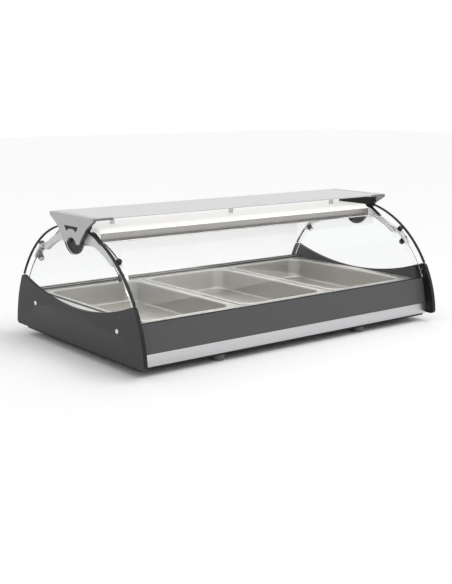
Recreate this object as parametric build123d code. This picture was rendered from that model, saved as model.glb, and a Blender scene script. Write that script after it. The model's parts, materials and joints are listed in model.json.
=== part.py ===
from build123d import *
from math import cos, radians, sin
import os

# Heated bain-marie display, in millimetres. X runs along the length, Y from front to back, Z up.
# The origin is on the table under the middle. Front and rear, left and right mirror each other.

# The pans set the length and depth of everything else
PAN_PITCH = 342.0
PAN_X = PAN_PITCH - 17
PAN_Y = 530.0
PAN_DEEP = 65.0
PAN_WALL = 1.2
RIM_H = 2.7

# Overall form
HALF_LENGTH = 1.5 * PAN_PITCH + 37
DOME_R = PAN_Y / 2 + 85
DOME_Z = 11.0
TOP_Z = DOME_Z + DOME_R + 27
GAP = 0.1
RUN = 0.05

# End panels, side glasses and the edging on the dome edge
PANEL_T = 12.0
PANEL_Z0 = 28.0
WAVE_Z = 131.0
WAVE_R = 870.0
PANEL_X = HALF_LENGTH - PANEL_T
SIDE_GLASS_T = 4.0
SIDE_GLASS_X = HALF_LENGTH - 9
STRIP_T = 4.5
STRIP_WALL = 1.5
GROOVE_DEEP = 14.0
CAP_R = 6.5
CAP_Y = DOME_R - 125
CAP_Z = 108.0

# Brackets, pivot housings and shelf
BRACKET_IN = HALF_LENGTH - 62
V_PLATE_T = 9.5
TOP_PLATE_Z = TOP_Z - 7
SHELF_T = 4.0
SHELF_HALF_Y = 118.0
SHELF_SEAM_X = HALF_LENGTH - 20
SHELF_RIM = 6.0
HOUSING_OUT = HALF_LENGTH - V_PLATE_T
HOUSING_T = 6.0
HOUSING_IN = HOUSING_OUT - HOUSING_T
HOUSING_R = 50.0
HOUSING_Z = TOP_Z - 58
PIVOT_Y = 38.0
PIVOT_Z = TOP_Z - 66
PIN_R = 4.0
WASHER_T = 2.0
BRACKET_SCREW_X = HOUSING_OUT - HOUSING_T / 2
BRACKET_SCREW_Y = 70.0

# Lamp under the shelf
LAMP_HALF_X = HALF_LENGTH - 42
LAMP_HALF_Y = 85.0
LAMP_TOP = TOP_Z - 34
LAMP_Z0 = TOP_Z - 70
LAMP_WALL = 2.0
HANGER_X = HALF_LENGTH - 130

# Curved lids and their arms
LID_R = DOME_R - 20
LID_T = 6.0
LID_HALF_X = PANEL_X - 2
LID_TOP_Y = 108.0
LID_NOTCH_X = LID_HALF_X - 23
LID_NOTCH_Y = LID_R - 137
ARM_T = 12.0
ARM_OUT = HOUSING_IN - WASHER_T
ARM_IN = ARM_OUT - ARM_T
ARM_R = LID_R - 17
PAD_T = 3.0
PAD_R = 8.5
INNER_PAD_T = 11.0
CLAMP_X = LID_HALF_X - 7
JAW_HALF = 8.0
CLAMP_ANGLE = 47.0
BOLT_R = 3.0
BUMPER_ANGLE = 52.8

# Body: tray, front panel, trim and deck
TRAY_Z0 = 18.0
SHEET = 1.5
TRAY_FRONT = 42 - DOME_R
TRAY_REAR = DOME_R - 46.5
TRIM_TOP = 59.0
RIM_Z = 136.0
PANEL_FOOT_Y = 32 - DOME_R
PANEL_RIM_Y = 48.5 - DOME_R
FRONT_SHEET = 2.0
DECK_Z = 130.0
DECK_HALF_Y = DOME_R - 51
SEAL_TOP = 138.0

# Well under the pans
WELL_X = PANEL_X - 26
WELL_Y = PAN_Y / 2 - 8
WELL_Z0 = 40.0
BAR_X = PAN_PITCH / 2
ELEMENT_R = 4.0
ELEMENT_Z = 50.0
ELEMENT_OUT = WELL_X - 72
ELEMENT_IN = WELL_X - 132
ELEMENT_FRONT = 97 - WELL_Y

# Controls on the rear panel
CONTROL_Z = 96.0
REAR_FACE = TRAY_REAR + SHEET
KNOB_X = HALF_LENGTH - 250
SHAFT_R = 3.0
ROCKER_TILT = 8.0
POWER_X = KNOB_X - 100
LIGHT_X = POWER_X - 50
PILOT_X = POWER_X + 45
GLAND_X = -KNOB_X
GLAND_Z = 84.0

# Drain and feet
DRAIN_X = 10 - WELL_X
DRAIN_Y = WELL_Y - 33
SPIGOT_R = 8.0
FOOT_X = HALF_LENGTH / 2 - 7
FOOT_Y = DECK_HALF_Y - 13


def save(shape, name):
    """Write one part to its own file."""
    export_step(shape, f"parts/{name}.step")


def block(x0, x1, y0, y1, z0, z1):
    """Box between the given limits."""
    middle = Pos((x0 + x1) / 2, (y0 + y1) / 2, (z0 + z1) / 2)
    return middle * Box(x1 - x0, y1 - y0, z1 - z0)


def slab(face, x0, x1):
    """Y-Z outline extruded along X."""
    return Pos(x0, 0, 0) * extrude(Plane.YZ * face, amount=x1 - x0)


def rod(radius, start, end):
    """Round bar between two points."""
    line = Vector(*end) - Vector(*start)
    base = Plane(origin=start, z_dir=line)
    return extrude(base * Circle(radius), amount=line.length)


def outline(points):
    """Closed straight-sided outline."""
    return make_face(Polyline(*points, close=True))


def both_ends(shape):
    """Shape and its mirror image at the other end."""
    return shape + mirror(shape, about=Plane.YZ)


def both_sides(shape):
    """Shape and its mirror image across the length."""
    return shape + mirror(shape, about=Plane.XZ)


def mirrored(points):
    """Outline points on the +Y side followed by their mirror images."""
    return points + [(-y, z) for y, z in reversed(points)]


def disc(radius):
    """Dome circle of the given radius."""
    return Pos(0, DOME_Z) * Circle(radius)


def wave(extra=0.0):
    """Circle whose lowest stretch is the wave edge of the end panels."""
    return Pos(0, WAVE_Z + WAVE_R) * Circle(WAVE_R + extra)


def radial(radius, angle, x):
    """Point on the dome at a radius and an angle above the horizontal, on the rear side."""
    return (x, radius * cos(radians(angle)), DOME_Z + radius * sin(radians(angle)))


def polar(radius, angle):
    """The same point in the Y-Z plane."""
    return radial(radius, angle, 0)[1:]


# End panels and side glasses

def bracket_outline():
    """V shape of the end bracket without its arch."""
    flank = [(SHELF_HALF_Y, TOP_Z), (SHELF_HALF_Y, TOP_Z - 9), (83, TOP_Z - 30), (60, TOP_Z - 53),
             (40, TOP_Z - 78)]
    return outline(mirrored(flank))


def window_outline():
    """Arched window in the V plate."""
    return outline(mirrored([(38, TOP_Z - 30.5), (25.5, TOP_Z - 46), (13, TOP_Z - 38.5)]))


def cheek_outline():
    """Round-bottomed shield of the pivot housing, widening upwards."""
    flank = [(85, TOP_PLATE_Z - GAP), (88, TOP_Z - 30), (66, TOP_Z - 53), (49, TOP_Z - 68)]
    return outline(mirrored(flank)) + Pos(0, HOUSING_Z) * Circle(HOUSING_R)


def end_panel():
    """Dome-edged panel with a wave top, a groove for the side glass and cap recesses."""
    face = (disc(DOME_R) - wave()) & (Pos(0, PANEL_Z0 + DOME_R) * Rectangle(3 * DOME_R, 2 * DOME_R))
    low = [v for v in face.vertices() if v.Y < PANEL_Z0 + 1]
    face = fillet(low, 10)
    high = [v for v in face.vertices() if v.Y > WAVE_Z + 20]
    face = fillet(high, 14)
    body = slab(face, PANEL_X, HALF_LENGTH)
    groove = disc(DOME_R - STRIP_WALL - 3 * GAP) & wave(GROOVE_DEEP + 3 * GAP)
    body -= slab(groove, SIDE_GLASS_X - GAP, SIDE_GLASS_X + SIDE_GLASS_T + GAP)
    for y in (-CAP_Y, CAP_Y):
        body -= cap(y)
    return body


def cap(y):
    """Screw with a round cap, standing one millimetre proud of the panel."""
    head = rod(CAP_R, (HALF_LENGTH - 2, y, CAP_Z), (HALF_LENGTH + 1, y, CAP_Z))
    shank = rod(2.5, (PANEL_X, y, CAP_Z), (HALF_LENGTH - 2, y, CAP_Z))
    return head + shank


def side_glass():
    """Flat end pane, notched round the bracket and the pivot housing."""
    face = disc(DOME_R - STRIP_WALL - 6 * GAP) & wave(GROOVE_DEEP)
    for shape in (bracket_outline(), cheek_outline()):
        face -= offset(shape, 1.0, kind=Kind.INTERSECTION)
    return slab(face, SIDE_GLASS_X, SIDE_GLASS_X + SIDE_GLASS_T)


def dome_strips():
    """Black edging on the dome edge, from the end panel up to the bracket."""
    face = (disc(DOME_R) - disc(DOME_R - STRIP_T)) & wave()
    face -= offset(bracket_outline(), 0.5, kind=Kind.INTERSECTION)
    strips = slab(face, SIDE_GLASS_X - STRIP_WALL, SIDE_GLASS_X + SIDE_GLASS_T + STRIP_WALL)
    slot = disc(DOME_R - STRIP_WALL)
    return strips - slab(slot, SIDE_GLASS_X - GAP, SIDE_GLASS_X + SIDE_GLASS_T + GAP)


# Brackets, housings and shelf

def bracket():
    """Cast end bracket: V plate with an arch and a dark window, and the top plate for the shelf."""
    face = bracket_outline() - Pos(0, TOP_Z - 88) * Circle(27)
    face = fillet([v for v in face.vertices() if v.Y < TOP_Z - 77], 2.5)
    face -= window_outline()
    face = fillet([v for v in face.vertices() if abs(v.X) > SHELF_HALF_Y - 1], 2.5)
    plate = slab(face, HOUSING_OUT, HALF_LENGTH)
    top = block(BRACKET_IN, HOUSING_OUT, -SHELF_HALF_Y, SHELF_HALF_Y, TOP_PLATE_Z, TOP_Z)
    tips = top.edges().filter_by(Axis.X)
    top = fillet(tips, 2.5)
    rim = SHELF_HALF_Y - SHELF_RIM
    top -= block(BRACKET_IN - 1, SHELF_SEAM_X, -rim, rim, TOP_Z - SHELF_T, TOP_Z + 1)
    body = plate + top
    for y in (-BRACKET_SCREW_Y, BRACKET_SCREW_Y):
        body -= bracket_screw(y)
    return body


def bracket_screw(y):
    """Flat-headed screw from the bracket top into the housing."""
    x = BRACKET_SCREW_X
    head = rod(4.0, (x, y, TOP_Z - 2.5), (x, y, TOP_Z))
    return head + rod(1.5, (x, y, TOP_Z - 20), (x, y, TOP_Z - 2.5))


def pivot_housing():
    """Black cheek behind the V plate that carries both hinge pins and fills the window."""
    face = cheek_outline() & (disc(DOME_R - STRIP_T - 1) + bracket_outline())
    body = slab(face, HOUSING_IN, HOUSING_OUT)
    body += slab(offset(window_outline(), -3 * GAP, kind=Kind.INTERSECTION), HOUSING_OUT, HALF_LENGTH - 1.5)
    for y in (-PIVOT_Y, PIVOT_Y):
        body -= pivot_pin(y)
    for y in (-BRACKET_SCREW_Y, BRACKET_SCREW_Y):
        body -= bracket_screw(y)
    return body


def pivot_pin(y):
    """Shoulder pin from the cheek through the arm hub, with a head on the inner side."""
    head = ARM_IN - WASHER_T
    shank = rod(PIN_R, (head, y, PIVOT_Z), (HOUSING_OUT, y, PIVOT_Z))
    return shank + rod(7, (head - 3, y, PIVOT_Z), (head, y, PIVOT_Z))


def washers():
    """Friction washers on both sides of every arm hub."""
    ring = []
    for x in (ARM_IN - WASHER_T, ARM_OUT + GAP):
        start = (x, PIVOT_Y, PIVOT_Z)
        end = (x + WASHER_T - GAP, PIVOT_Y, PIVOT_Z)
        ring.append(rod(12, start, end) - rod(PIN_R, start, end))
    return both_ends(both_sides(ring[0] + ring[1]))


def shelf_plate():
    """Flat shelf, narrower where it lies in the brackets."""
    wide = BRACKET_IN - 0.5
    long = SHELF_SEAM_X - 0.5
    rim = SHELF_HALF_Y - SHELF_RIM - 0.5
    z0 = TOP_Z - SHELF_T
    body = block(-wide, wide, -SHELF_HALF_Y, SHELF_HALF_Y, z0, TOP_Z)
    return body + block(-long, long, -rim, rim, z0, TOP_Z)


def lamp_outline():
    """Cross-section of the lamp housing."""
    return outline(mirrored([(70, LAMP_TOP), (LAMP_HALF_Y, LAMP_TOP - 12), (LAMP_HALF_Y, LAMP_Z0)]))


def lamp_housing():
    """Long hollow housing with closed ends, open below between two narrow flanges."""
    inner = offset(lamp_outline(), -LAMP_WALL, kind=Kind.INTERSECTION)
    x = LAMP_HALF_X - LAMP_WALL
    body = slab(lamp_outline(), -LAMP_HALF_X, LAMP_HALF_X) - slab(inner, -x, x)
    mouth = LAMP_HALF_Y - 9
    return body - block(-x, x, -mouth, mouth, LAMP_Z0 - 1, LAMP_Z0 + LAMP_WALL)


def lamp_diffuser():
    """Opal sheet lying on the flanges."""
    x = LAMP_HALF_X - LAMP_WALL - 0.5
    y = LAMP_HALF_Y - LAMP_WALL - 0.5
    return block(-x, x, -y, y, LAMP_Z0 + LAMP_WALL, LAMP_Z0 + 2 * LAMP_WALL)


def light_strips():
    """Two light strips under the roof of the lamp housing."""
    top = LAMP_TOP - LAMP_WALL
    x = LAMP_HALF_X - 38
    return both_sides(block(-x, x, 28, 42, top - 1.6, top))


def lamp_hangers():
    """Slim posts that hang the lamp housing from the shelf."""
    post = block(-4, 4, -6, 6, LAMP_TOP, TOP_Z - SHELF_T)
    return post + both_ends(Pos(HANGER_X, 0, 0) * post)


# Curved lids with their arms, modelled on the rear side

def lid_glass():
    """Curved glass with notched top corners and clamp holes."""
    ring = disc(LID_R) - disc(LID_R - LID_T)
    body = slab(ring, -LID_HALF_X, LID_HALF_X)
    body &= block(-LID_HALF_X, LID_HALF_X, LID_TOP_Y, LID_R, SEAL_TOP + 2 * GAP, TOP_Z)
    notch = block(LID_NOTCH_X, LID_HALF_X + 1, 0, LID_NOTCH_Y, WAVE_Z + 70, TOP_Z)
    return body - both_ends(notch + clamp_shank())


def clamp_shank():
    """Shank of the clamp bolt, square to the glass."""
    start = radial(LID_R - LID_T - INNER_PAD_T, CLAMP_ANGLE, CLAMP_X)
    return rod(BOLT_R, start, radial(LID_R + 7, CLAMP_ANGLE, CLAMP_X))


def clamp_bolt():
    """Clamp bolt with a flat head inside and a round nut outside."""
    inner = LID_R - LID_T - INNER_PAD_T
    head = rod(7, radial(inner - 4, CLAMP_ANGLE, CLAMP_X), radial(inner, CLAMP_ANGLE, CLAMP_X))
    nut = rod(5.5, radial(LID_R + 7, CLAMP_ANGLE, CLAMP_X), radial(LID_R + 11, CLAMP_ANGLE, CLAMP_X))
    return head + clamp_shank() + nut


def arm():
    """Swan-neck arm: hub, curved band level with the glass, and a jaw lying on the outer pad."""
    swan = [(PIVOT_Y, PIVOT_Z + 14), (57, PIVOT_Z + 19), (76, PIVOT_Z + 20.5), (95, PIVOT_Z + 11.5)]
    upper = Spline(*swan, *[polar(LID_R + 1, angle) for angle in (69, 64, 59)], polar(LID_R + 8, 55),
                   polar(LID_R + 9.5, 51), polar(LID_R + 8.5, 47), polar(LID_R + 4, 43.5))
    under = [(PIVOT_Y, PIVOT_Z - 14), (68, PIVOT_Z - 13)]
    lower = Spline(*[polar(ARM_R, angle) for angle in (56, 60, 64, 68, 72)], *reversed(under))
    step = Polyline(upper @ 1, polar(LID_R + PAD_T, 43.3), polar(LID_R + PAD_T - 1, 50), lower @ 0)
    face = make_face([upper, step, lower, Line(lower @ 1, upper @ 0)])
    face -= disc(LID_R + PAD_T) & (Pos(LID_NOTCH_Y + 100 - 6, PIVOT_Z - 50) * Rectangle(200, 200))
    jaw = Pos(LID_NOTCH_Y + 100, PIVOT_Z - 50) * Rectangle(200, 200)
    plate = slab(face, ARM_IN, ARM_OUT) + slab(face & jaw, CLAMP_X - JAW_HALF, CLAMP_X + JAW_HALF)
    hub = rod(14, (ARM_IN, PIVOT_Y, PIVOT_Z), (ARM_OUT, PIVOT_Y, PIVOT_Z))
    bore = rod(PIN_R + RUN, (ARM_IN, PIVOT_Y, PIVOT_Z), (ARM_OUT, PIVOT_Y, PIVOT_Z))
    body = plate + hub - bore - clamp_shank()
    seat = radial(LID_R + 7, CLAMP_ANGLE, CLAMP_X)
    return body - rod(5.5, seat, radial(LID_R + 40, CLAMP_ANGLE, CLAMP_X))


def arm_cover():
    """Thin black strip lying on the shoulder of the arm."""
    ridge = Spline((55, PIVOT_Z + 18), (65, PIVOT_Z + 23.5), (78, PIVOT_Z + 23.7), (96, PIVOT_Z + 14.6),
                   (112, PIVOT_Z + 5), (124, PIVOT_Z - 4.5))
    base = Line(ridge @ 1, (85, PIVOT_Z + 5))
    back = Line(base @ 1, ridge @ 0)
    return slab(make_face([ridge, base, back]), ARM_IN, ARM_OUT) - arm()


def bumper():
    """Rubber bumper standing on the jaw of the arm."""
    top = radial(LID_R + 20, BUMPER_ANGLE, CLAMP_X)
    body = rod(8, radial(LID_R + 6, BUMPER_ANGLE, CLAMP_X), top)
    rim = body.edges().filter_by(GeomType.CIRCLE).sort_by(Axis.Z)[-1]
    return fillet(rim, 3) - arm() - clamp_bolt()


def pads():
    """Round pads on both faces of the glass."""
    start = radial(LID_R - LID_T - INNER_PAD_T, CLAMP_ANGLE, CLAMP_X)
    tube = rod(PAD_R, start, radial(LID_R + 15, CLAMP_ANGLE, CLAMP_X))
    reach = (LID_NOTCH_X - 20, LID_HALF_X + 20)
    outer = tube & (slab(disc(LID_R + PAD_T), *reach) - slab(disc(LID_R), *reach))
    inner = tube & slab(disc(LID_R - LID_T), *reach)
    return outer + inner - clamp_shank()


def save_lid(side, turn):
    """All pieces of one lid."""
    save(turn(lid_glass()), f"{side}_glass")
    save(turn(both_ends(arm())), f"{side}_arms")
    save(turn(both_ends(arm_cover())), f"{side}_arm_covers")
    save(turn(both_ends(pads())), f"{side}_pads")
    save(turn(both_ends(clamp_bolt())), f"{side}_clamp_bolts")
    save(turn(both_ends(bumper())), f"{side}_bumpers")


# Body

def base_tray():
    """Folded tray with low front and rear walls and ledges for the deck."""
    top = DECK_Z - SHEET
    side = outline([(TRAY_FRONT, TRAY_Z0), (TRAY_REAR, TRAY_Z0), (TRAY_REAR, top), (-DECK_HALF_Y, top),
                    (TRAY_FRONT, 90)])
    inner = PANEL_X - SHEET
    body = slab(side, -PANEL_X, PANEL_X)
    body -= block(-inner, inner, TRAY_FRONT + SHEET, TRAY_REAR - SHEET, TRAY_Z0 + SHEET, TOP_Z)
    body -= block(-inner, inner, TRAY_REAR - 4, TRAY_REAR + 1, 60, TOP_Z)
    ledge = block(inner - 12, inner, -DECK_HALF_Y + 4, DECK_HALF_Y - 4, top - SHEET, top)
    body += both_ends(ledge)
    return body - rod(SPIGOT_R + 0.5, (DRAIN_X, DRAIN_Y, 0), (DRAIN_X, DRAIN_Y, TRAY_Z0 + SHEET))


def front_panel():
    """Reclined front sheet with folded flanges above and below."""
    lean = (PANEL_RIM_Y - PANEL_FOOT_Y) / (RIM_Z - TRIM_TOP)
    skin = FRONT_SHEET * (1 + lean ** 2) ** 0.5
    low = (PANEL_FOOT_Y + skin + lean * FRONT_SHEET, TRIM_TOP + FRONT_SHEET)
    high = (PANEL_RIM_Y + skin - lean * FRONT_SHEET, RIM_Z - FRONT_SHEET)
    flange = PANEL_RIM_Y + 13.5
    face = outline([(TRAY_FRONT, TRIM_TOP), (PANEL_FOOT_Y, TRIM_TOP), (PANEL_RIM_Y, RIM_Z), (flange, RIM_Z),
                    (flange, high[1]), high, low, (TRAY_FRONT, low[1])])
    return slab(face, -PANEL_X, PANEL_X)


def front_trim():
    """Hollow bowed trim under the front panel."""
    foot = (PANEL_FOOT_Y - 1.5, PANEL_Z0 - 1)
    bow = ThreePointArc(foot, (PANEL_FOOT_Y - 3.5, TRIM_TOP - 16), (PANEL_FOOT_Y, TRIM_TOP))
    back = Polyline(bow @ 1, (TRAY_FRONT, TRIM_TOP), (TRAY_FRONT, PANEL_Z0 - 1), bow @ 0)
    face = make_face([bow, back])
    return slab(face - offset(face, -1.8), -PANEL_X, PANEL_X)


def rear_panel():
    """Upright service panel with cut-outs for the controls."""
    body = block(-PANEL_X, PANEL_X, TRAY_REAR, REAR_FACE, PANEL_Z0 - 1, RIM_Z)
    body += block(-PANEL_X, PANEL_X, REAR_FACE - 15, REAR_FACE, RIM_Z - SHEET, RIM_Z)
    for x in (POWER_X, LIGHT_X):
        body -= block(x - 13, x + 13, TRAY_REAR, REAR_FACE, CONTROL_Z - 12, CONTROL_Z + 12)
    for x, z, radius in ((KNOB_X, CONTROL_Z, 4.5), (PILOT_X, CONTROL_Z, 4.5), (GLAND_X, GLAND_Z, 8)):
        body -= rod(radius, (x, TRAY_REAR, z), (x, REAR_FACE, z))
    return body


def seals():
    """Seals between deck and flanges and under the lower edges of the lids."""
    x = PANEL_X - 2
    front_deck = block(-x, x, 1 - DECK_HALF_Y, 11 - DECK_HALF_Y, DECK_Z, RIM_Z - FRONT_SHEET)
    rear_deck = block(-x, x, DECK_HALF_Y - 9, DECK_HALF_Y - 1, DECK_Z, RIM_Z - SHEET)
    front_lip = block(-LID_HALF_X, LID_HALF_X, PANEL_RIM_Y + 0.5, 3 - DECK_HALF_Y, RIM_Z, SEAL_TOP)
    rear_lip = block(-LID_HALF_X, LID_HALF_X, DECK_HALF_Y - 3, DECK_HALF_Y + 3, RIM_Z, SEAL_TOP)
    return front_deck + rear_deck + front_lip + rear_lip


def water_tank():
    """Deck with the deep well for the water."""
    deck_x = PANEL_X - SHEET - GAP
    body = block(-deck_x, deck_x, -DECK_HALF_Y, DECK_HALF_Y, DECK_Z - SHEET, DECK_Z)
    outer = RectangleRounded(2 * (WELL_X + SHEET), 2 * (WELL_Y + SHEET), 21.5)
    body += Pos(0, 0, WELL_Z0) * extrude(outer, amount=DECK_Z - WELL_Z0)
    inner = RectangleRounded(2 * WELL_X, 2 * WELL_Y, 20)
    body -= Pos(0, 0, WELL_Z0 + SHEET) * extrude(inner, amount=DECK_Z)
    body -= rod(5, (DRAIN_X, DRAIN_Y, WELL_Z0), (DRAIN_X, DRAIN_Y, WELL_Z0 + SHEET))
    body -= heating_element()
    return body - thermostat_bulb()


def insulation():
    """Mat between tray floor and well floor."""
    x = WELL_X - 7
    y = WELL_Y - 7
    body = block(-x, x, -y, y, TRAY_Z0 + SHEET, WELL_Z0 - 1)
    return body - rod(15, (DRAIN_X, DRAIN_Y, 0), (DRAIN_X, DRAIN_Y, WELL_Z0))


def pan(index):
    """Full-size pan, 65 deep, with a hemmed rim, hanging in the deck."""
    lip = RIM_H - PAN_WALL
    rim = extrude(RectangleRounded(PAN_X, PAN_Y, 20), amount=RIM_H)
    rim -= extrude(RectangleRounded(PAN_X - 2 * PAN_WALL, PAN_Y - 2 * PAN_WALL, 19), amount=lip)
    deep = PAN_DEEP + lip
    long = PAN_X - 25
    wide = PAN_Y - 25
    shell = Pos(0, 0, lip) * extrude(RectangleRounded(long, wide, 42), amount=-deep, taper=3)
    hollow = RectangleRounded(long - 2 * PAN_WALL, wide - 2 * PAN_WALL, 42 - PAN_WALL)
    bowl = Pos(0, 0, RIM_H) * extrude(hollow, amount=-deep, taper=3)
    return Pos(PAN_PITCH * index, 0, DECK_Z) * (rim + shell - bowl)


def pan_bars():
    """Channels across the well that carry the long rims of the pans, with hooks on the deck."""
    y = WELL_Y - GAP
    bar = block(BAR_X - 15, BAR_X + 15, -y, y, DECK_Z - 12, DECK_Z)
    bar -= block(BAR_X - 13.5, BAR_X + 13.5, -y, y, DECK_Z - 12, DECK_Z - SHEET)
    bar += both_sides(block(BAR_X - 6, BAR_X + 6, y - 7, y + 11, DECK_Z, DECK_Z + PAN_WALL))
    return both_ends(bar)


def heating_element():
    """Folded tubular heater on the floor of the well."""
    end = WELL_Y + 15
    turns = [(ELEMENT_OUT, end), (ELEMENT_OUT, ELEMENT_FRONT), (-ELEMENT_OUT, ELEMENT_FRONT),
             (-ELEMENT_OUT, 0), (ELEMENT_IN, 0), (ELEMENT_IN, end)]
    path = FilletPolyline(*[(x, y, ELEMENT_Z) for x, y in turns], radius=30)
    return sweep(Plane(path @ 0, z_dir=path % 0) * Circle(ELEMENT_R), path)


def element_nuts():
    """Hexagon nuts where the heater leaves the well."""
    nuts = []
    for x in (ELEMENT_IN, ELEMENT_OUT):
        plane = Plane(origin=(x, WELL_Y + SHEET, ELEMENT_Z), z_dir=(0, 1, 0))
        tube = rod(ELEMENT_R, (x, 0, ELEMENT_Z), (x, WELL_Y + 30, ELEMENT_Z))
        nuts.append(extrude(plane * RegularPolygon(9, 6), amount=5) - tube)
    return nuts[0] + nuts[1]


def element_clips():
    """Saddles that carry the heater."""
    low = WELL_Z0 + SHEET
    high = ELEMENT_Z + ELEMENT_R + 2
    saddle = block(-6, 6, -8, 8, low, high)
    clips = both_ends(Pos(ELEMENT_OUT - 140, ELEMENT_FRONT, 0) * saddle)
    clips += both_ends(Pos(ELEMENT_OUT - 240, 0, 0) * saddle)
    return clips - heating_element()


# Controls

def thermostat_body():
    """Thermostat behind the rear panel with its bushing."""
    body = block(KNOB_X - 19, KNOB_X + 19, REAR_FACE - 37, TRAY_REAR, CONTROL_Z - 20, CONTROL_Z + 18)
    body += rod(4.5, (KNOB_X, TRAY_REAR, CONTROL_Z), (KNOB_X, REAR_FACE + 2.5, CONTROL_Z))
    return body - rod(SHAFT_R + RUN, (KNOB_X, REAR_FACE - 20, CONTROL_Z), (KNOB_X, REAR_FACE + 3, CONTROL_Z))


def thermostat_shaft():
    """Turning shaft."""
    return rod(SHAFT_R, (KNOB_X, REAR_FACE - 19, CONTROL_Z), (KNOB_X, REAR_FACE + 13, CONTROL_Z))


def thermostat_knob():
    """Knob with a skirt and a raised pointer."""
    y0 = REAR_FACE + 3
    skirt = rod(21, (KNOB_X, y0, CONTROL_Z), (KNOB_X, y0 + 4, CONTROL_Z))
    grip = rod(17, (KNOB_X, y0 + 4, CONTROL_Z), (KNOB_X, y0 + 18, CONTROL_Z))
    grip = chamfer(grip.edges().sort_by(Axis.Y)[-1], 1.5)
    pointer = block(KNOB_X - 1.5, KNOB_X + 1.5, y0 + 4, y0 + 19, CONTROL_Z + 2, CONTROL_Z + 18.5)
    return skirt + grip + pointer - thermostat_shaft()


def thermostat_bulb():
    """Sensing bulb in the well with its thin tube up to the thermostat."""
    z = ELEMENT_Z + 6
    y = WELL_Y - 7
    bulb = rod(3, (KNOB_X - 100, y, z), (KNOB_X - 38, y, z))
    path = FilletPolyline((KNOB_X - 38, y, z), (KNOB_X - 10, y, z), (KNOB_X - 10, y + 28, z),
                          (KNOB_X - 10, y + 28, CONTROL_Z - 20), radius=5)
    return bulb + sweep(Plane(path @ 0, z_dir=path % 0) * Circle(1), path)


def switch_body(x):
    """Rocker switch housing with a bezel outside the panel."""
    z = CONTROL_Z
    body = block(x - 13, x + 13, REAR_FACE - 29, REAR_FACE, z - 12, z + 12)
    body += block(x - 17, x + 17, REAR_FACE, REAR_FACE + 2, z - 16, z + 16)
    body -= block(x - 10, x + 10, REAR_FACE - 11, REAR_FACE + 2, z - 9.6, z + 9.6)
    return body - rod(1.5 + RUN, (x - 12, REAR_FACE - 1, z), (x + 12, REAR_FACE - 1, z))


def rocker(x):
    """Tilting rocker at its off position."""
    half = [(-6, 4), (-1, 8), (6, 8.5), (4.2, 0), (6, -8.5), (-1, -8), (-6, -4)]
    key = slab(outline(half), x - 9.7, x + 9.7) + rod(1.5, (x - 11.5, 0, 0), (x + 11.5, 0, 0))
    return Pos(0, REAR_FACE - 1, CONTROL_Z) * Rot(-ROCKER_TILT, 0, 0) * key


def pilot_lamp():
    """Small round signal lamp."""
    lens = rod(6, (PILOT_X, REAR_FACE, CONTROL_Z), (PILOT_X, REAR_FACE + 4, CONTROL_Z))
    lens = fillet(lens.edges().sort_by(Axis.Y)[-1], 2)
    return lens + rod(4.5, (PILOT_X, REAR_FACE - 18, CONTROL_Z), (PILOT_X, REAR_FACE, CONTROL_Z))


def inlet_gland():
    """Cable gland with its lock nut behind the panel."""
    x = GLAND_X
    z = GLAND_Z
    body = rod(8, (x, TRAY_REAR - 9, z), (x, REAR_FACE, z))
    plane = Plane(origin=(x, REAR_FACE, z), z_dir=(0, 1, 0))
    body += extrude(plane * RegularPolygon(13, 6), amount=6)
    body += rod(10.5, (x, REAR_FACE + 6, z), (x, REAR_FACE + 17, z))
    body -= rod(4, (x, REAR_FACE + 13, z), (x, REAR_FACE + 17, z))
    nut = extrude(Plane(origin=(x, TRAY_REAR - 6, z), z_dir=(0, 1, 0)) * RegularPolygon(13, 6), amount=6)
    return body + (nut - rod(8, (x, TRAY_REAR - 6, z), (x, TRAY_REAR, z)))


def terminal_block():
    """Terminal block on the tray floor."""
    x0 = GLAND_X + 40
    y0 = TRAY_REAR - 33.5
    top = TRAY_Z0 + 24
    body = block(x0, x0 + 60, y0, y0 + 26, TRAY_Z0 + SHEET, top)
    for step in range(5):
        x = x0 + 9 + 10.5 * step
        body -= rod(2.5, (x, y0 + 13, top - 6), (x, y0 + 13, top))
    return body


def light_driver():
    """Supply for the light strips on the tray floor."""
    return block(0, 130, TRAY_REAR - 37.5, TRAY_REAR - 7.5, TRAY_Z0 + SHEET, TRAY_Z0 + 32)


def drain_spigot():
    """Outlet pipe under the well."""
    body = rod(SPIGOT_R, (DRAIN_X, DRAIN_Y, 12), (DRAIN_X, DRAIN_Y, WELL_Z0))
    body += rod(12, (DRAIN_X, DRAIN_Y, WELL_Z0 - 2), (DRAIN_X, DRAIN_Y, WELL_Z0))
    return body - rod(5, (DRAIN_X, DRAIN_Y, 12), (DRAIN_X, DRAIN_Y, WELL_Z0))


def drain_cap():
    """Quarter-turn cap with a finger bar."""
    cup = rod(10.5, (DRAIN_X, DRAIN_Y, 4), (DRAIN_X, DRAIN_Y, TRAY_Z0 - 0.7))
    cup -= rod(SPIGOT_R + RUN, (DRAIN_X, DRAIN_Y, 9), (DRAIN_X, DRAIN_Y, TRAY_Z0))
    return cup + block(DRAIN_X - 9, DRAIN_X + 9, DRAIN_Y - 1.5, DRAIN_Y + 1.5, 1.5, 4)


def feet():
    """Four round feet."""
    foot = Pos(FOOT_X, FOOT_Y, TRAY_Z0 / 2) * Cylinder(17.5, TRAY_Z0)
    foot = chamfer(foot.edges().sort_by(Axis.Z)[0], 1.5)
    return both_sides(both_ends(foot))


def flip_x(shape):
    """Mirror image at the other end."""
    return mirror(shape, about=Plane.YZ)


def flip_y(shape):
    """Mirror image on the front side."""
    return mirror(shape, about=Plane.XZ)


def as_is(shape):
    """The shape where it was modelled."""
    return shape


for make, name in ((end_panel, "end_panel"), (side_glass, "side_glass"), (bracket, "bracket"),
                   (pivot_housing, "pivot_housing")):
    right = make()
    save(right, name + "_right")
    save(flip_x(right), name + "_left")

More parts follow.
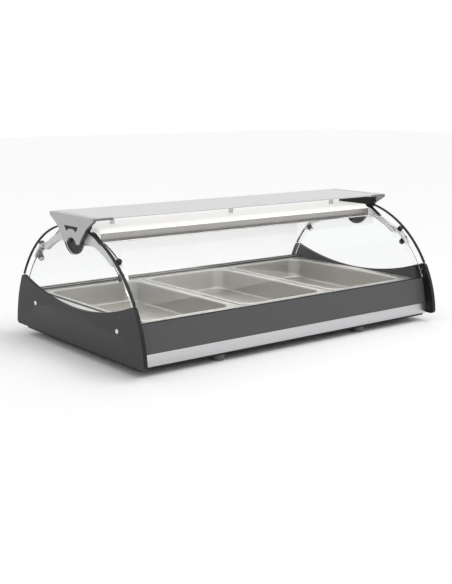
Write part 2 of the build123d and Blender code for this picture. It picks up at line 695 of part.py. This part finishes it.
save(both_ends(both_sides(cap(CAP_Y))), "end_panel_caps")
save(both_ends(dome_strips()), "dome_edge_strips")
save(both_ends(both_sides(pivot_pin(PIVOT_Y))), "pivot_pins")
save(both_ends(both_sides(bracket_screw(BRACKET_SCREW_Y))), "bracket_screws")
save(washers(), "friction_washers")
save(shelf_plate(), "shelf_plate")
save(lamp_housing(), "lamp_housing")
save(lamp_diffuser(), "lamp_diffuser")
save(light_strips(), "light_strips")
save(lamp_hangers(), "lamp_hangers")
save_lid("rear", as_is)
save_lid("front", flip_y)
save(base_tray(), "base_tray")
save(front_panel(), "front_panel")
save(front_trim(), "front_trim")
save(rear_panel(), "rear_panel")
save(seals(), "panel_seals")
save(water_tank(), "water_tank")
save(insulation(), "insulation")
for index, name in enumerate(("pan_left", "pan_middle", "pan_right")):
    save(pan(index - 1), name)
save(pan_bars(), "pan_bars")
save(heating_element(), "heating_element")
save(element_nuts(), "element_nuts")
save(element_clips(), "element_clips")
save(thermostat_body(), "thermostat_body")
save(thermostat_shaft(), "thermostat_shaft")
save(thermostat_knob(), "thermostat_knob")
save(thermostat_bulb(), "thermostat_bulb")
for x, name in ((POWER_X, "power"), (LIGHT_X, "light")):
    save(switch_body(x), name + "_switch")
    save(rocker(x), name + "_rocker")
save(pilot_lamp(), "pilot_lamp")
save(inlet_gland(), "inlet_gland")
save(terminal_block(), "terminal_block")
save(light_driver(), "light_driver")
save(drain_spigot(), "drain_spigot")
save(drain_cap(), "drain_cap")
save(feet(), "feet")
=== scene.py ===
# %% [markdown]
# # A heated bain-marie display
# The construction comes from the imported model: every node is already in its place, in metres, with X along
# the length, Y from the front to the service side and Z up. This lesson gives each surface its finish,
# replaces the glass, the pans and the cast parts with finer meshes, and sets up a plain studio.

# %% Load the frame
import json
from math import acos, asin, cos, pi, radians, sin

import bmesh
import bpy
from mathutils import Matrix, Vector

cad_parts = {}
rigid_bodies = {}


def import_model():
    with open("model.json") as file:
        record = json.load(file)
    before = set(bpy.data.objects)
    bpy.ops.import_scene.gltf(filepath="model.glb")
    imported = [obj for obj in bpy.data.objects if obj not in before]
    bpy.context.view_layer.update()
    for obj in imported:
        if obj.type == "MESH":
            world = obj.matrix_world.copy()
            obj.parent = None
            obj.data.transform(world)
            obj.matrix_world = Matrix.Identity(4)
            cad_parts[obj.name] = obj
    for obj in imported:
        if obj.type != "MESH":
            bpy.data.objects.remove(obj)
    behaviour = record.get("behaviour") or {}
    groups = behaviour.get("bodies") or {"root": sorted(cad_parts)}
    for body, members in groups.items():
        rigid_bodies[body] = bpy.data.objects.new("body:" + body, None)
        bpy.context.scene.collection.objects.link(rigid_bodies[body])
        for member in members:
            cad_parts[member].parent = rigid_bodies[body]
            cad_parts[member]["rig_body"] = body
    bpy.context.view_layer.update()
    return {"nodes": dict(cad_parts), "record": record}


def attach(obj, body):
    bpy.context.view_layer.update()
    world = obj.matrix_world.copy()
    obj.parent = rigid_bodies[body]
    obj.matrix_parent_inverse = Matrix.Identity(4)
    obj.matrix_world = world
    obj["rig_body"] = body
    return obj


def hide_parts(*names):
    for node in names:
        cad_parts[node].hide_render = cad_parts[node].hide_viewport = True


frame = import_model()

nodes = frame["nodes"]
slot_of = {part["node"]: part["material_slot"] for part in frame["record"]["subparts"]}
print(len(nodes), "nodes in the frame")

# %% [markdown]
# Lengths are named in metres. The dome is a circle whose centre lies just above the table, and the glass
# lids, the black edging and the end panels all follow it.

# %% Main sizes
MM = 0.001
DOME_Z = 11 * MM
DOME_R = 350 * MM
LID_R = 330 * MM
LID_T = 6 * MM
LID_HALF_X = 536 * MM
NOTCH_X = 513 * MM
NOTCH_Y = 193 * MM
LID_TOP_Y = 108 * MM
SEAL_TOP = 138.2 * MM
DECK_Z = 130 * MM
PAN_PITCH = 342 * MM

# %% [markdown]
# Shader arithmetic reads best as plain Python. One small class wraps a socket, so `mask * 0.4 + 0.1` adds the
# Math nodes by itself, and a second class makes any other node from its settings and inputs.

# %% Shader helpers
class Level:
    """A shader value that can be used in sums."""

    def __init__(self, paint, socket):
        self.paint = paint
        self.socket = socket

    def join(self, operation, other):
        return self.paint.node("ShaderNodeMath", {"operation": operation}, {0: self, 1: other})

    def __add__(self, other):
        return self.join("ADD", other)

    def __sub__(self, other):
        return self.join("SUBTRACT", other)

    def __mul__(self, other):
        return self.join("MULTIPLY", other)


class Paint:
    """A material under construction."""

    def __init__(self, name):
        self.material = bpy.data.materials.new(name)
        self.material.use_nodes = True
        self.tree = self.material.node_tree
        self.shader = self.tree.nodes["Principled BSDF"]
        self.output = self.tree.nodes["Material Output"]

    def feed(self, socket, value):
        if isinstance(value, Level):
            self.tree.links.new(value.socket, socket)
        else:
            socket.default_value = value

    def node(self, kind, settings=None, inputs=None, output=0):
        made = self.tree.nodes.new(kind)
        for key, value in (settings or {}).items():
            setattr(made, key, value)
        for key, value in (inputs or {}).items():
            self.feed(made.inputs[key], value)
        return Level(self, made.outputs[output])

    def place(self, scale=(1, 1, 1)):
        """Object coordinates, stretched."""
        where = self.node("ShaderNodeTexCoord", output="Object")
        return self.node("ShaderNodeMapping", inputs={"Vector": where, "Scale": scale})

    def noise(self, scale, stretch=(1, 1, 1), detail=3.0, rough=0.5):
        spot = {"Vector": self.place(stretch), "Scale": scale, "Detail": detail, "Roughness": rough}
        return self.node("ShaderNodeTexNoise", inputs=spot)

    def blend(self, factor, low, high):
        """Colour between two others; the sockets 6, 7 and 2 are the colour ones."""
        mixer = self.node("ShaderNodeMix", {"data_type": "RGBA"}, {"Factor": factor}).socket.node
        self.feed(mixer.inputs[6], low)
        self.feed(mixer.inputs[7], high)
        return Level(self, mixer.outputs[2])

    def set(self, **values):
        """Principled sockets by name, with underscores for spaces."""
        for key, value in values.items():
            self.feed(self.shader.inputs[key.replace("_", " ")], value)
        return self

    def bump(self, height, strength, distance):
        self.set(Normal=self.node("ShaderNodeBump", inputs={
            "Height": height, "Strength": strength, "Distance": distance}))
        return self

    def mix_shader(self, factor, other):
        """Put another shader over the Principled one, by the factor."""
        mixed = self.node("ShaderNodeMixShader", inputs={0: factor, 2: other})
        self.tree.links.new(self.shader.outputs[0], mixed.socket.node.inputs[1])
        self.tree.links.new(mixed.socket, self.output.inputs["Surface"])


def tone(red, green, blue):
    """Linear colour from sRGB screen values of 0 to 255."""
    toe = 11
    linear = [(c / 255 / 12.92 if c < toe else ((c / 255 + 0.055) / 1.055) ** 2.4) for c in (red, green, blue)]
    return (*linear, 1.0)


def darker(colour, share):
    """The colour with its red, green and blue brought down to a share."""
    return tuple(c * share for c in colour[:3]) + (1,)


def drifting(level, middle, spread):
    """A value that wanders about its middle."""
    return level * spread + (middle - spread / 2)


print("helpers ready")

# %% [markdown]
# ## Finishes
# The body is powder-coated sheet steel. Powder coat flows into tiny hills as it bakes, so the coat gets a
# fine even bump, and its roughness drifts a little over the panel.

# %% Powder coat
def powder_coat(name, colour, rough):
    paint = Paint(name)
    hills = paint.noise(scale=900, detail=2)
    drift = paint.noise(scale=7, detail=4)
    paint.set(Base_Color=paint.blend(drift, darker(colour, 0.94), colour))
    paint.set(Roughness=drifting(drift, rough, spread=0.12), Specular_IOR_Level=0.32)
    return paint.bump(hills, strength=0.12, distance=0.4 * MM).material


end_coat = powder_coat("end_panel_coat", tone(50, 50, 51), rough=0.5)
# painted shade: a nearly black coat for the inner sides of the end panels, which stand in shade inside the
# display
inner_painted_shade = powder_coat("end_panel_inner_painted_shade", tone(20, 20, 21), rough=0.5)
front_coat = powder_coat("front_panel_coat", tone(78, 78, 79), rough=0.44)
tray_coat = powder_coat("tray_coat", tone(24, 24, 24), rough=0.6)
print("powder coats:", end_coat.name, front_coat.name, tray_coat.name)

# %% [markdown]
# Brushed metal carries thousands of fine parallel scratches. Noise stretched along the brushing direction
# moves the tone and the roughness a little and gives a shallow bump. Cast metal has an even grain instead.

# %% Brushed and cast metal
CLOUD_SPREAD = 0.06


def brushed(name, colour, rough, stretch, depth=0.10, metallic=1.0, spread=0.16):
    paint = Paint(name)
    lines = paint.noise(scale=260, stretch=stretch, detail=4)
    cloud = paint.noise(scale=9, detail=3)
    middle = rough - spread / 2 - CLOUD_SPREAD / 2
    paint.set(Base_Color=paint.blend(lines, darker(colour, 1 - 0.6 * spread), colour))
    paint.set(Metallic=metallic, Roughness=lines * spread + cloud * CLOUD_SPREAD + middle)
    return paint.bump(lines, strength=depth, distance=0.2 * MM).material


def cast_metal(name, colour, rough, metallic=0.25):
    paint = Paint(name)
    grain = paint.noise(scale=620, detail=3)
    drift = paint.noise(scale=18, detail=3)
    paint.set(Base_Color=paint.blend(drift, darker(colour, 0.92), colour))
    paint.set(Metallic=metallic, Roughness=drifting(drift, rough, spread=0.10), Specular_IOR_Level=0.5)
    return paint.bump(grain, strength=0.14, distance=0.3 * MM).material


ALONG_X = (0.02, 1, 1)
ALONG_Y = (1, 0.02, 1)
trim_metal = brushed("trim_aluminium", tone(204, 204, 206), rough=0.34, stretch=ALONG_X)
pan_steel = brushed("pan_steel", tone(186, 184, 180), rough=0.34, stretch=ALONG_Y,
                    depth=0.02, metallic=0.72, spread=0.06)
deck_steel = brushed("deck_steel", tone(206, 204, 200), rough=0.32, stretch=ALONG_X,
                     depth=0.05, metallic=0.75)
lamp_metal = brushed("lamp_aluminium", tone(178, 176, 173), rough=0.26, stretch=ALONG_X,
                     depth=0.04, metallic=0.8)
shelf_metal = brushed("shelf_aluminium", tone(206, 206, 208), rough=0.30, stretch=ALONG_X,
                      depth=0.05, metallic=0.8)
bracket_cast = cast_metal("cast_grey", tone(182, 182, 184), rough=0.42)
# painted shade: a darker grey for the front and rear edge faces of the brackets, which catch less light
bracket_painted_shade = cast_metal("cast_grey_painted_shade", tone(120, 119, 117), rough=0.5)
arm_cast = cast_metal("arm_grey", tone(222, 222, 222), rough=0.3, metallic=0.3)
print("metals ready")

# %% [markdown]
# Chrome caps and pins are almost mirrors, with the faint haze of handling. Moulded plastic and rubber have a
# fine skin from the tool that they were pressed in.

# %% Chrome, plastics and rubber
def polished(name, colour, rough):
    paint = Paint(name)
    haze = paint.noise(scale=60, detail=4)
    paint.set(Base_Color=colour, Metallic=1.0, Roughness=haze * 0.08 + rough)
    return paint.bump(haze, strength=0.02, distance=0.2 * MM).material


def moulded(name, colour, rough, grain=0.10):
    paint = Paint(name)
    skin = paint.noise(scale=760, detail=2)
    drift = paint.noise(scale=14, detail=3)
    paint.set(Base_Color=paint.blend(drift, darker(colour, 0.85), colour))
    paint.set(Roughness=drifting(drift, rough, spread=0.14), Specular_IOR_Level=0.35)
    return paint.bump(skin, strength=grain, distance=0.3 * MM).material


chrome = polished("chrome", tone(226, 226, 228), rough=0.06)
heater_steel = polished("heater_steel", tone(150, 146, 140), rough=0.28)
black_plastic = moulded("black_plastic", tone(22, 22, 23), rough=0.46)
edging_rubber = moulded("edging_rubber", tone(22, 22, 24), rough=0.55)
pad_rubber = moulded("pad_rubber", tone(27, 27, 28), rough=0.6)
foot_rubber = moulded("foot_rubber", tone(104, 104, 106), rough=0.6)
drain_plastic = moulded("drain_plastic", tone(112, 112, 114), rough=0.45)
nylon = moulded("nylon", tone(222, 220, 212), rough=0.45)
driver_case = moulded("driver_case", tone(216, 216, 214), rough=0.5)
rocker_green = moulded("rocker_green", tone(40, 122, 52), rough=0.25, grain=0.02)
signal_lens = moulded("signal_lens", tone(214, 92, 20), rough=0.15, grain=0.0)
print("plastics ready")

# %% [markdown]
# The insulation mat is loose wool: large soft tufts with fibres over them. The opal sheet and the light strips
# glow by themselves; the lamp housing's roof, shoulders and ends get a glow too, which is painted light.

# %% Wool mat and light surfaces
def wool(name):
    paint = Paint(name)
    tufts = paint.noise(scale=55, detail=6, rough=0.7)
    paint.set(Base_Color=paint.blend(tufts, tone(150, 132, 84), tone(222, 208, 158)), Roughness=0.95)
    return paint.bump(tufts, strength=0.9, distance=4 * MM).material


def lit(name, colour, strength):
    """A surface with a glow of its own."""
    paint = Paint(name)
    cloud = paint.noise(scale=40, detail=2)
    paint.set(Base_Color=paint.blend(cloud, darker(colour, 0.96), colour))
    paint.set(Roughness=0.5, Emission_Color=colour, Emission_Strength=strength)
    return paint.material


mat_wool = wool("mat_wool")
opal_sheet = lit("opal_sheet", tone(255, 249, 240), strength=2.0)
strip_glow = lit("strip_glow", tone(255, 240, 205), strength=2.4)
# painted light: the lamp housing is no lamp; this faint white glow stands for the light and white reflections
# on its roof, shoulders and ends
lamp_painted_glow = lit("lamp_painted_glow", tone(252, 251, 248), strength=0.5)
print("wool and light ready")

# %% [markdown]
# Toughened glass is modelled with its true thickness, so it bends light by itself. Display glass is coated
# against reflections, which a low index of refraction stands for. Shadows are the weak spot: a renderer
# would need many samples to find the lamps through a pane, so shadow rays pass straight through, as they
# nearly do in clear glass.

# %% Glass
COATED_INDEX = 1.25


def clear_glass(name, tint):
    paint = Paint(name)
    smear = paint.noise(scale=5, detail=4)
    paint.set(Base_Color=tint, Roughness=smear * 0.012, IOR=COATED_INDEX, Transmission_Weight=1.0)
    passing = paint.node("ShaderNodeBsdfTransparent", inputs={"Color": tint})
    paint.mix_shader(paint.node("ShaderNodeLightPath", output="Is Shadow Ray"), passing)
    return paint.material


lid_glass = clear_glass("lid_glass", (0.985, 0.99, 0.988, 1))
side_glass = clear_glass("side_glass", (0.98, 0.99, 0.987, 1))
print("glass ready")

# %% [markdown]
# The record names a material slot for every node, and each slot has one finish here.

# %% Put the finishes on the nodes
finish_of_slot = {
    "end_grey": end_coat,
    "front_grey": front_coat,
    "trim": trim_metal,
    "tray_black": tray_coat,
    "stainless": deck_steel,
    "clear_glass": side_glass,
    "edging": edging_rubber,
    "cast_grey": bracket_cast,
    "arm_metal": arm_cast,
    "black_plastic": black_plastic,
    "chrome": chrome,
    "shelf": shelf_metal,
    "lamp_metal": lamp_metal,
    "opal": opal_sheet,
    "light_strip": strip_glow,
    "pad_rubber": pad_rubber,
    "nylon": nylon,
    "mat": mat_wool,
    "element_steel": heater_steel,
    "driver_case": driver_case,
    "rocker_plastic": rocker_green,
    "signal_lens": signal_lens,
    "drain_plastic": drain_plastic,
    "foot_grey": foot_rubber,
}
for name, obj in nodes.items():
    for place in obj.material_slots:
        place.material = finish_of_slot[slot_of[name]]
print("finishes on", len(nodes), "nodes")

# %% [markdown]
# ## New meshes
# A mesh made here becomes a piece of the model: it rides on a body and stands in for a node, which is hidden.

# %% Piece helpers
def mesh_object(name, bm, finish):
    """Object in the scene from a bmesh, with one finish."""
    mesh = bpy.data.meshes.new(name)
    bm.to_mesh(mesh)
    bm.free()
    mesh.materials.append(finish)
    made = bpy.data.objects.new(name, mesh)
    bpy.context.scene.collection.objects.link(made)
    return made


def add_piece(name, bm, finish, node):
    """Turn a bmesh into a piece that replaces a node."""
    piece = mesh_object(name, bm, finish)
    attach(piece, nodes[node]["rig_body"])
    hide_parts(node)
    return piece


def smooth(piece, angle):
    """Smooth shading that keeps edges sharper than the angle, in degrees."""
    piece.data.shade_smooth()
    piece.data.set_sharp_from_angle(angle=radians(angle))


def soften(piece, width, angle=30):
    """Rounded edges with a modifier."""
    bevel = piece.modifiers.new("edges", "BEVEL")
    bevel.width = width
    bevel.segments = 2
    bevel.limit_method = "ANGLE"
    bevel.angle_limit = radians(angle)
    bevel.harden_normals = True
    smooth(piece, angle)


def finer(node, width):
    """Copy of a CAD node with its doubles merged, flat faces joined and edges rounded."""
    bm = bmesh.new()
    bm.from_mesh(nodes[node].data)
    bmesh.ops.remove_doubles(bm, verts=bm.verts, dist=0.005 * MM)
    bmesh.ops.dissolve_limit(bm, angle_limit=radians(0.5), verts=bm.verts, edges=bm.edges)
    piece = add_piece(node + "_finished", bm, finish_of_slot[slot_of[node]], node)
    soften(piece, width)
    return piece


def face_along(bm, direction_at):
    """Make the normals agree, and turn them all if the largest face looks the wrong way."""
    bmesh.ops.recalc_face_normals(bm, faces=bm.faces)
    largest = max(bm.faces, key=lambda face: face.calc_area())
    if largest.normal.dot(direction_at(largest)) < 0:
        bmesh.ops.reverse_faces(bm, faces=bm.faces)


print("piece helpers ready")

# %% [markdown]
# ## Curved lids
# A line across the display is spun about the dome's axis, first the full width up to the notches, then
# the middle stretch up to the shelf. The sheet then gets its thickness and softly ground edges.

# %% Lid glass
FOOT_SLACK = radians(0.05)
NOTCH_SLACK = radians(0.9)
WIDE_STEPS = 28
MIDDLE_STEPS = 16
GROUND_EDGE = 1.2 * MM


def curved_lid(node, side):
    start = asin((SEAL_TOP - DOME_Z) / (LID_R - LID_T)) + FOOT_SLACK
    notch = acos(NOTCH_Y / (LID_R - LID_T)) - NOTCH_SLACK
    top = acos(LID_TOP_Y / LID_R)
    dome_axis = Vector((0, 0, DOME_Z))
    bm = bmesh.new()
    row = []
    for x in (-LID_HALF_X, -NOTCH_X, NOTCH_X, LID_HALF_X):
        row.append(bm.verts.new((x, side * LID_R * cos(start), DOME_Z + LID_R * sin(start))))
    edges = [bm.edges.new(pair) for pair in zip(row, row[1:])]
    turn = {"cent": dome_axis, "axis": (side, 0, 0)}
    spun = bmesh.ops.spin(bm, geom=row + edges, angle=notch - start, steps=WIDE_STEPS, **turn)
    last = [part for part in spun["geom_last"] if isinstance(part, bmesh.types.BMEdge)]
    middle = [edge for edge in last if edge.calc_length() > NOTCH_X]
    geom = middle + list({v for edge in middle for v in edge.verts})
    bmesh.ops.spin(bm, geom=geom, angle=top - notch, steps=MIDDLE_STEPS, **turn)
    bmesh.ops.remove_doubles(bm, verts=bm.verts, dist=0.01 * MM)
    face_along(bm, lambda face: face.calc_center_median() - dome_axis)
    piece = add_piece(node + "_pane", bm, lid_glass, node)
    wall = piece.modifiers.new("thickness", "SOLIDIFY")
    wall.thickness = LID_T
    wall.offset = -1
    wall.use_even_offset = True
    soften(piece, GROUND_EDGE, angle=50)
    return piece


for node, side in (("front_glass", -1), ("rear_glass", 1)):
    pane = curved_lid(node, side)
    print(pane.name, len(pane.data.polygons), "faces before thickness")

# %% [markdown]
# ## Pans
# A gastronorm pan is pressed from one sheet: a hemmed rim, a small shoulder, steep walls with large corner
# radii and a flat floor. Its section is a list of rings, each a rounded rectangle, and neighbouring rings
# are bridged. The bridge operator pairs flat nested rings wrongly, so the rings are first stacked well apart
# and moved to their own heights afterwards.

# %% Pan meshes
PAN_HALF_X = 162.5 * MM
PAN_HALF_Y = 265 * MM
PAN_SHEET = 0.9 * MM
CORNER_STEPS = 10
STACK_STEP = 20 * MM
# inset from the rim, corner radius, height above the deck, all in millimetres
PAN_SECTION = [
    (0.0, 20, 0.2), (0.0, 20, 1.7), (0.3, 20, 2.4), (0.9, 19.5, 2.7), (10.4, 40, 2.7),
    (12.0, 41.5, 2.5), (13.2, 42, 1.6), (13.7, 42, 0.2), (13.9, 42, -3.0), (15.0, 42, -25.0),
    (16.2, 42, -50.0), (16.6, 42, -57.5), (17.6, 41.5, -61.0), (19.8, 40, -63.2), (23.0, 37, -64.0),
]


def ring(bm, half_x, half_y, radius, z):
    """Rounded rectangle of vertices at one height."""
    verts = []
    for quarter, (sx, sy) in enumerate(((1, 1), (-1, 1), (-1, -1), (1, -1))):
        for step in range(CORNER_STEPS + 1):
            angle = (quarter + step / CORNER_STEPS) * pi / 2
            x = sx * (half_x - radius) + radius * cos(angle)
            y = sy * (half_y - radius) + radius * sin(angle)
            verts.append(bm.verts.new((x, y, z)))
    return verts


def pan_sheet(centre_x):
    bm = bmesh.new()
    rings = []
    loops = []
    for index, (inset, radius, rise) in enumerate(PAN_SECTION):
        half_x, half_y = PAN_HALF_X - inset * MM, PAN_HALF_Y - inset * MM
        verts = ring(bm, half_x, half_y, radius * MM, -STACK_STEP * index)
        rings.append((verts, DECK_Z + rise * MM))
        loops.append([bm.edges.new(pair) for pair in zip(verts, verts[1:] + verts[:1])])
    for outer, inner in zip(loops, loops[1:]):
        bmesh.ops.bridge_loops(bm, edges=outer + inner)
    bmesh.ops.contextual_create(bm, geom=loops[-1])
    for verts, height in rings:
        for vert in verts:
            vert.co.z = height
    face_along(bm, lambda face: Vector((0, 0, 1)))
    bmesh.ops.translate(bm, verts=bm.verts, vec=(centre_x, 0, 0))
    return bm


for index, node in enumerate(("pan_left", "pan_middle", "pan_right")):
    piece = add_piece(node + "_pressing", pan_sheet((index - 1) * PAN_PITCH), pan_steel, node)
    sheet = piece.modifiers.new("sheet", "SOLIDIFY")
    sheet.thickness = PAN_SHEET
    sheet.offset = -1
    smooth(piece, angle=50)
    low = min(v.co.z for v in piece.data.vertices)
    print(piece.name, "floor at", round(low / MM, 1), "mm")

# %% [markdown]
# ## Cast and folded parts
# The arms, housings, front sheets and small fittings keep their CAD outline. Their copies only get rounded
# edges, in millimetres here, which catch the light as a real casting or a folded sheet does.

# %% Rounded copies
ROUNDED = {
    "front_arms": 1.4, "rear_arms": 1.4,
    "front_arm_covers": 1.5, "rear_arm_covers": 1.5,
    "pivot_housing_left": 1.2, "pivot_housing_right": 1.2,
    "end_panel_caps": 0.8, "pivot_pins": 0.8,
    "front_panel": 0.8, "front_trim": 0.5,
    "shelf_plate": 0.8,
    "thermostat_knob": 0.8, "feet": 0.8,
}
for node, width in ROUNDED.items():
    piece = finer(node, width * MM)
    print(piece.name, len(piece.data.polygons), "faces")

# %% [markdown]
# Some parts carry more than one finish. The end panels are grey outside and black on the dome edge, and their
# inner side gets a painted shade, nearly black; the brackets get a darker painted shade on their front and
# rear edges; the side panes have a black seal round the pivot housing; the lamp gets painted light, a glowing
# white on its roof, shoulders and ends. One helper walks over the faces of a finished copy and gives each face
# the finish that its direction asks for.

# %% Parts with several finishes
DOME_BAND = 4 * MM
SEAL_FROM_Z = 250 * MM
SEAL_HALF_Y = 125 * MM
# shares of a unit normal
SIDE_ON = 0.5
SQUARE_ON = 0.8
INWARD = 0.4
SLOPED_UP = 0.3
END_ON = 0.7


def part_finishes(node, width, finishes, choose):
    """Rounded copy whose faces choose among extra finishes; choose returns 0 for the node's own."""
    piece = finer(node, width)
    for finish in finishes:
        piece.data.materials.append(finish)
    for face in piece.data.polygons:
        face.material_index = choose(face)
    changed = sum(face.material_index > 0 for face in piece.data.polygons)
    print(piece.name, changed, "faces in another finish")


def panel_edging_and_shade(face):
    """Black edging on the dome edge, and a nearly black painted shade on the inner side."""
    outward = Vector((0, face.center.y, face.center.z - DOME_Z))
    on_dome = abs(outward.length - DOME_R) < DOME_BAND
    if on_dome and abs(face.normal.x) < SIDE_ON and face.normal.dot(outward.normalized()) > SQUARE_ON:
        return 1
    return 2 if face.normal.x * face.center.x < -INWARD * abs(face.center.x) else 0


def bracket_shade_choice(face):
    """Painted shade: darker on the front and rear edges."""
    return int(abs(face.normal.y) > SIDE_ON)


def pane_face(face):
    """Black seal on the edge of the notch round the pivot housing."""
    in_notch = face.center.z > SEAL_FROM_Z and abs(face.center.y) < SEAL_HALF_Y
    return int(abs(face.normal.x) < SIDE_ON and in_notch)


def lamp_glow_choice(face):
    """Painted light: a glowing white on the roof, the sloping shoulders and the ends."""
    return int(face.normal.z > SLOPED_UP or abs(face.normal.x) > END_ON)


for end in ("left", "right"):
    part_finishes("end_panel_" + end, 0.8 * MM, (edging_rubber, inner_painted_shade), panel_edging_and_shade)
    part_finishes("bracket_" + end, 1.2 * MM, (bracket_painted_shade,), bracket_shade_choice)
    part_finishes("side_glass_" + end, 0.4 * MM, (edging_rubber,), pane_face)
part_finishes("lamp_housing", 0.6 * MM, (lamp_painted_glow,), lamp_glow_choice)

# %% [markdown]
# ## Studio
# The floor and the world are white to the camera and in reflections. The light itself stays plain: an even
# world with a wide soft lamp above, so a colour renders about as it is written. Near the display the floor
# shows its own shaded colour, so that it keeps the shadow; further away it fades into plain white.

# %% Floor, world and lamp
FLOOR_HALF = 14
SHADOW_HALF = (0.5, 0.28)
FADE_REACH = 0.45
GLOW_SHARE = 0.8
WORLD_LIGHT = 0.84
WORLD_SEEN = 1.0


def seen_rays(tree):
    """Socket that is 1 on rays from the camera, off a gloss or through glass, and 0 on all others."""
    path = tree.nodes.new("ShaderNodeLightPath")
    seen = path.outputs["Is Camera Ray"]
    for ray in ("Is Glossy Ray", "Is Transmission Ray"):
        larger = tree.nodes.new("ShaderNodeMath")
        larger.operation = "MAXIMUM"
        tree.links.new(seen, larger.inputs[0])
        tree.links.new(path.outputs[ray], larger.inputs[1])
        seen = larger.outputs[0]
    return seen


def floor_white():
    paint = Paint("floor_white")
    paint.set(Base_Color=(0.93, 0.93, 0.93, 1), Roughness=0.9, Specular_IOR_Level=0.1)
    glow = paint.node("ShaderNodeEmission", inputs={"Color": (1, 1, 1, 1), "Strength": 1.0})
    split = paint.node("ShaderNodeSeparateXYZ", inputs={0: paint.place()}).socket.node
    away = []
    for axis, half in enumerate(SHADOW_HALF):
        along = Level(paint, split.outputs[axis])
        spot = paint.node("ShaderNodeMath", {"operation": "ABSOLUTE"}, {0: along})
        beyond = paint.node("ShaderNodeMath", {"operation": "MAXIMUM"}, {0: spot - half, 1: 0.0})
        away.append(beyond * beyond)
    reach = paint.node("ShaderNodeMath", {"operation": "SQRT"}, {0: away[0] + away[1]})
    fade = paint.node("ShaderNodeMapRange", {"interpolation_type": "SMOOTHSTEP"}, {
        "Value": reach, "From Min": 0.0, "From Max": FADE_REACH, "To Min": 0.0, "To Max": GLOW_SHARE})
    paint.mix_shader(Level(paint, seen_rays(paint.tree)) * fade, glow)
    return paint.material


def make_floor():
    bm = bmesh.new()
    bmesh.ops.create_grid(bm, x_segments=1, y_segments=1, size=FLOOR_HALF)
    mesh_object("floor", bm, floor_white())


def make_world():
    world = bpy.data.worlds.new("studio")
    bpy.context.scene.world = world
    world.use_nodes = True
    tree = world.node_tree
    back = tree.nodes["Background"]
    back.inputs["Color"].default_value = (1, 1, 1, 1)
    level = tree.nodes.new("ShaderNodeMapRange")
    level.inputs["To Min"].default_value = WORLD_LIGHT
    level.inputs["To Max"].default_value = WORLD_SEEN
    tree.links.new(seen_rays(tree), level.inputs["Value"])
    tree.links.new(level.outputs[0], back.inputs["Strength"])


def soft_lamp(name, place, target, size, power):
    data = bpy.data.lights.new(name, "AREA")
    data.shape = "RECTANGLE"
    data.size, data.size_y = size
    data.energy = power
    lamp = bpy.data.objects.new(name, data)
    lamp.location = place
    lamp.rotation_euler = (Vector(target) - Vector(place)).to_track_quat("-Z", "Y").to_euler()
    bpy.context.scene.collection.objects.link(lamp)


make_floor()
make_world()
soft_lamp("key", place=(0.8, -1.6, 2.6), target=(0, 0, 0.15), size=(2.4, 1.6), power=34)
print("studio ready")

# %% [markdown]
# ## Camera
# The camera was fitted to the photograph's long edges: it stands 0.7 m up, in front of the left end, and
# looks about 11 degrees down.

# %% Camera
EYE_PLACE = (-1.8312, -2.3223, 0.6976)
EYE_TILT = radians(78.74)
EYE_TURN = radians(-37.97)

camera = bpy.data.cameras.new("camera")
camera.sensor_fit = "VERTICAL"
camera.sensor_height = 36
camera.sensor_width = 36
camera.lens = 60.2
camera.clip_end = 60
eye = bpy.data.objects.new("camera", camera)
eye.location = EYE_PLACE
eye.rotation_euler = (EYE_TILT, 0, EYE_TURN)
bpy.context.scene.collection.objects.link(eye)
bpy.context.scene.camera = eye
bpy.context.scene.view_settings.view_transform = "Standard"
